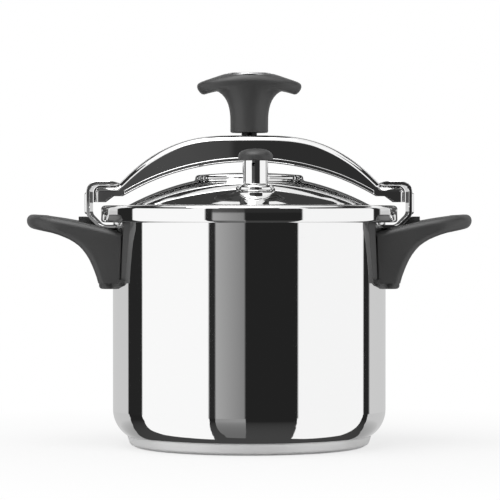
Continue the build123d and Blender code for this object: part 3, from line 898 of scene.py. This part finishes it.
def makeScrew():
    # one turn of thread, wound up the screw
    z, root, crest = screw["thread"], screw["root"], screw["crest"]
    line = [(root, z), (root, z + 0.35), (crest, z + 0.85), (crest, z + 1.3), (root, z + 1.8),
            (root, z + screw["pitch"])]
    thread = drawLine("screwSpindle", [at(r, 0, h) for r, h in line])
    turns = int((screw["threadTop"] - z) / screw["pitch"])
    useModifier(thread, 'SCREW', angle=2 * pi, screw_offset=screw["pitch"] * mm, iterations=turns, steps=40,
                render_steps=40, use_merge_vertices=True)
    foot, tip, core, neck = screw["foot"], screw["tip"], screw["core"], screw["neck"]
    low, high = screw["neckLow"], screw["neckTop"]
    line = [(0, foot), (tip, foot), (tip, z - 0.1), (core, z + 0.2), (core, low - 0.4), (core + 0.5, low),
            (neck, low), (neck, high), (0, high)]
    ends = turnProfile("ends", line, [(tip, foot, 0.4, 2), (neck, low, 0.4, 2)], steps=64)
    joinInto(thread, ends)
    finishPiece(thread, "knob", "black_steel", blackenedSteel, "screw_spindle")


makeKnob()
makeScrew()
print("knob and screw done")


# Small pieces that keep their CAD shape

keptLooks = {
    platedSteel: ("handle_nuts", "handle_screws", "knob_screw", "knob_washer", "bridge_bush",
                  "pressure_pad", "vent_nut", "valve_needle"),
    turnedBrass: ("safety_housing", "safety_nut", "safety_plunger"),
    siliconeRubber: ("lid_gasket", "vent_seal", "safety_seal"),
    rolledAluminium: ("base_core",),
}
for look, names in keptLooks.items():
    for name in names:
        for slot in nodes[name].material_slots:
            slot.material = look
print("kept pieces dressed")


# Studio: pale floor, soft light, and cards that only reflections see. Sizes here are in metres

studio = {
    "distance": 2.4, "lowBottom": -0.17, "lowTop": 0.207, "highTop": 1.1, "pit": -1.0, "lift": 0.01,
    # angle from the camera, left is minus; brightness
    "lowStops": [(-180, 0.62), (-119.9, 0.66), (-119.9, 0.02), (-99.5, 0.02), (-99.5, 1.1), (-32.75, 1.1),
                 (-32.75, 0.025), (-27.4, 0.025), (-27.4, 0.42), (-3.05, 0.24), (-3.05, 0.018),
                 (40.3, 0.018), (40.3, 1.06), (109.2, 1.06), (109.2, 0.02), (118.1, 0.02),
                 (118.1, 0.68), (180, 0.62)],
    "highStops": [(-180, 0.09), (-150, 0.09), (-150, 0.7), (-119.9, 0.8), (-119.9, 0.02), (-99.5, 0.02),
                  (-99.5, 1.1), (-32.75, 1.1), (-32.75, 0.03), (-27.4, 0.03), (-27.4, 0.1), (-3.05, 0.06),
                  (-3.05, 0.03), (40.3, 0.03), (40.3, 1.06), (109.2, 1.06), (109.2, 0.02), (118.1, 0.02),
                  (118.1, 0.8), (150, 0.7), (150, 0.09), (180, 0.09)],
}
glow = {"peak": 1.2, "gap": 0.0004, "near": 1.1, "far": 4.1}

# cards under the floor, to the right and towards the camera; brightness near and far
tableCards = {
    "lowLeft": ([(-0.3, 0.04), (-0.55, -0.07), (-0.88, -0.3), (-1.31, -0.43), (-3.3, -0.6), (-18, -3.6),
                 (-20, 8), (-12, 18.2), (-2.48, 3.81), (-1.5, 2.26), (-0.84, 1.17), (-0.55, 0.65),
                 (-0.37, 0.26)], 1.1, 1.1),
    "lowRight": ([(0.38, 0.06), (0.48, -0.1), (0.68, -0.3), (0.88, -0.51), (1.23, -0.61), (2.09, -0.84),
                  (3.62, -1.31), (18, -6.7), (22, 6), (14.3, 17), (2.83, 3.36), (1.2, 1.36), (0.73, 0.69),
                  (0.56, 0.42)], 1.06, 1.06),
    "lowGrey": ([(-0.035, 0.26), (-0.23, 0.27), (-0.3, 0.48), (-0.4, 0.66), (-0.56, 0.98), (-0.89, 1.63),
                 (-1.73, 3.23), (-9, 17), (-0.95, 18), (-0.11, 2.18), (-0.05, 0.87)], 0.16, 0.31),
    "lowBack": ([(-18, -10.8), (-4.41, -2.54), (-2.03, -1.4), (-1.19, -1.28), (-0.73, -1.5), (0, -1.6),
                 (0.74, -1.44), (1.19, -1.17), (2.05, -1.27), (4.49, -2.41), (18, -9.7), (14, -18),
                 (-14, -18)], 0.28, 0.62),
}
pitCard = ([(-30, -30), (30, -30), (30, 30), (-30, 30)], 0.06, 0.018)

# cards above: angles, heights over the horizon in degrees, brightness, nearer than the ring by
skyCards = {
    "cardSky": ((-80, 80), (24, 82), 1.1, 0),
    "cardFront": ((-24, 24), (20, 34), 0.04, 0.05),
    "cardGapLeft": ((-118, -46), (18, 46), 0.03, 0.05),
    "cardGapRight": ((46, 116), (18, 46), 0.03, 0.05),
    "cardBack": ((105, 255), (33.5, 52.5), 0.05, 0),
}


def bareLook(name):
    look = bpy.data.materials.new(name)
    look.use_nodes = True
    tree = look.node_tree
    tree.nodes.remove(tree.nodes["Principled BSDF"])
    return look, tree, tree.nodes["Material Output"].inputs["Surface"]


def cardLook(name, stops):
    look, tree, surface = bareLook(name)
    place = addNode(tree, "TexCoord").outputs["Object"]
    # the gradient's seam is turned to the back
    turned = addNode(tree, "Mapping", {"Rotation": (0, 0, pi / 2)}, {"Vector": place})
    around = addNode(tree, "TexGradient", {"gradient_type": "RADIAL"}, {"Vector": turned.outputs[0]})
    ramp = addNode(tree, "ValToRGB", {}, {"Fac": around.outputs["Fac"]})
    marks = ramp.color_ramp.elements
    while len(marks) < len(stops):
        marks.new(0.5)
    places = [angle / 360 + 0.5 for angle, level in stops]
    peak = glow["peak"]  # a ramp's colours stop at 1
    for i, (angle, level) in enumerate(stops):
        shift = glow["gap"] if i and places[i - 1] == places[i] else 0.0
        marks[i].position = places[i] + shift
        marks[i].color = (level / peak, level / peak, level / peak, 1)
    light = addNode(tree, "Emission", {"Strength": peak}, {"Color": ramp.outputs[0]})
    tree.links.new(light.outputs[0], surface)
    return look


def glowLook(name, near, far):
    # brightness runs from near to far over the first few metres
    look, tree, surface = bareLook(name)
    place = addNode(tree, "TexCoord").outputs["Object"]
    away = addNode(tree, "VectorMath", {"operation": "LENGTH"}, {0: place})
    level = addNode(tree, "MapRange", {"From Min": glow["near"], "From Max": glow["far"], "To Min": near,
                    "To Max": far}, {"Value": away.outputs["Value"]})
    light = addNode(tree, "Emission", {}, {"Strength": level.outputs[0]})
    tree.links.new(light.outputs[0], surface)
    return look


def onlyReflected(card, look):
    card.data.materials.append(look)
    card.visible_camera = False
    card.visible_diffuse = False
    card.visible_shadow = False
    card.visible_transmission = False


def cardRing(name, low, high, stops):
    far = studio["distance"]
    ring = turnProfile(name, [(far / mm, low / mm), (far / mm, high / mm)], steps=96)
    onlyReflected(ring, cardLook(name + "Look", stops))


def cardPatch(name, angles, rises, level, nearer):
    # curved card between two angles round the object and two heights of the sky
    far = studio["distance"] - nearer
    heights = [radians(rises[0] + (rises[1] - rises[0]) * i / 8) for i in range(9)]
    start, end = radians(angles[0]), radians(angles[1])
    points = []
    for h in heights:
        points.append(Vector((far * cos(h) * sin(start), -far * cos(h) * cos(start), 0.2 + far * sin(h))))
    card = drawLine(name, points)
    pickAll()
    bpy.ops.mesh.spin(steps=32, angle=start - end, center=(0, 0, 0), axis=(0, 0, 1))  # spin runs clockwise
    leaveEdit()
    onlyReflected(card, glowLook(name + "Look", level, level))


def cardBelow(name, outline, near, far, lift):
    card = drawLine(name, [Vector((x, -front, studio["pit"] + lift)) for x, front in outline])
    pickAll()
    bpy.ops.mesh.edge_face_add()
    leaveEdit()
    onlyReflected(card, glowLook(name + "Look", near, far))


def makeCards():
    cardRing("cardLow", studio["lowBottom"], studio["lowTop"], studio["lowStops"])
    cardRing("cardHigh", studio["lowTop"], studio["highTop"], studio["highStops"])
    for name, card in skyCards.items():
        cardPatch(name, *card)
    cardBelow("cardPit", *pitCard, 0)
    for name, card in tableCards.items():
        cardBelow(name, *card, studio["lift"])


paleFloor = {"colour": "#ebebeb", "size": 40, "fadeFrom": 0.1, "fadeTo": 0.45, "whiteNear": 0.72}


def makeFloor():
    leaveEdit()
    bpy.ops.mesh.primitive_plane_add(size=paleFloor["size"])
    floor = bpy.context.object
    floor.name = "floor"
    look, tree, surface = bareLook("paleFloor")
    path = addNode(tree, "LightPath")
    matt = addNode(tree, "BsdfDiffuse", {"Color": hexColour(paleFloor["colour"])})
    white = addNode(tree, "Emission", {"Strength": 1.0})
    place = addNode(tree, "TexCoord").outputs["Object"]
    away = addNode(tree, "VectorMath", {"operation": "LENGTH"}, {0: place})
    fade = addNode(tree, "MapRange", {"From Min": paleFloor["fadeFrom"], "From Max": paleFloor["fadeTo"],
                   "To Min": paleFloor["whiteNear"], "To Max": 1.0},
                   {"Value": away.outputs["Value"]})  # shadow fades out into the white
    share = addNode(tree, "Math", {"operation": "MULTIPLY"},
                    {0: path.outputs["Is Camera Ray"], 1: fade.outputs[0]})
    mix = addNode(tree, "MixShader", {}, {0: share.outputs[0], 1: matt.outputs[0], 2: white.outputs[0]})
    tree.links.new(mix.outputs[0], surface)
    floor.data.materials.append(look)
    floor.visible_glossy = False  # the cards go on below it, as in a shiny table


softLight = 0.6  # the world's own light on the object


def makeWorld():
    world = bpy.data.worlds.new("softStudio")
    bpy.context.scene.world = world
    world.use_nodes = True
    tree = world.node_tree
    tree.nodes.clear()
    path = addNode(tree, "LightPath")
    seen = addNode(tree, "Math", {"operation": "ADD"},
                   {0: path.outputs["Is Camera Ray"], 1: path.outputs["Is Glossy Ray"]})
    seen = addNode(tree, "Math", {"operation": "ADD", "use_clamp": True},
                   {0: seen.outputs[0], 1: path.outputs["Is Transmission Ray"]})
    soft = addNode(tree, "Background", {"Color": (1, 1, 1, 1), "Strength": softLight})
    white = addNode(tree, "Background", {"Color": (1, 1, 1, 1), "Strength": 1.0})
    mix = addNode(tree, "MixShader", {}, {0: seen.outputs[0], 1: soft.outputs[0], 2: white.outputs[0]})
    addNode(tree, "OutputWorld", {}, {"Surface": mix.outputs[0]})


lamp = {"place": (-0.45, -0.75, 2.1), "aim": (0, 0, 0.15), "size": 1.6, "power": 26}
view = {"place": (0.0006, -2.2, 0.1897), "down": 0.786, "lens": 194.4, "sensor": 36}


def makeLampAndCamera():
    leaveEdit()
    bpy.ops.object.light_add(type='AREA', location=lamp["place"])
    key = bpy.context.object
    key.data.size = lamp["size"]
    key.data.energy = lamp["power"]
    key.rotation_euler = (Vector(lamp["aim"]) - key.location).to_track_quat('-Z', 'Y').to_euler()
    key.visible_camera = False

    bpy.ops.object.camera_add(location=view["place"], rotation=(radians(90 - view["down"]), 0, 0))
    camera = bpy.context.object
    camera.data.lens = view["lens"]
    camera.data.sensor_width = view["sensor"]
    bpy.context.scene.camera = camera
    bpy.context.scene.view_settings.view_transform = 'Standard'


makeCards()
makeFloor()
makeWorld()
makeLampAndCamera()
print("studio ready")
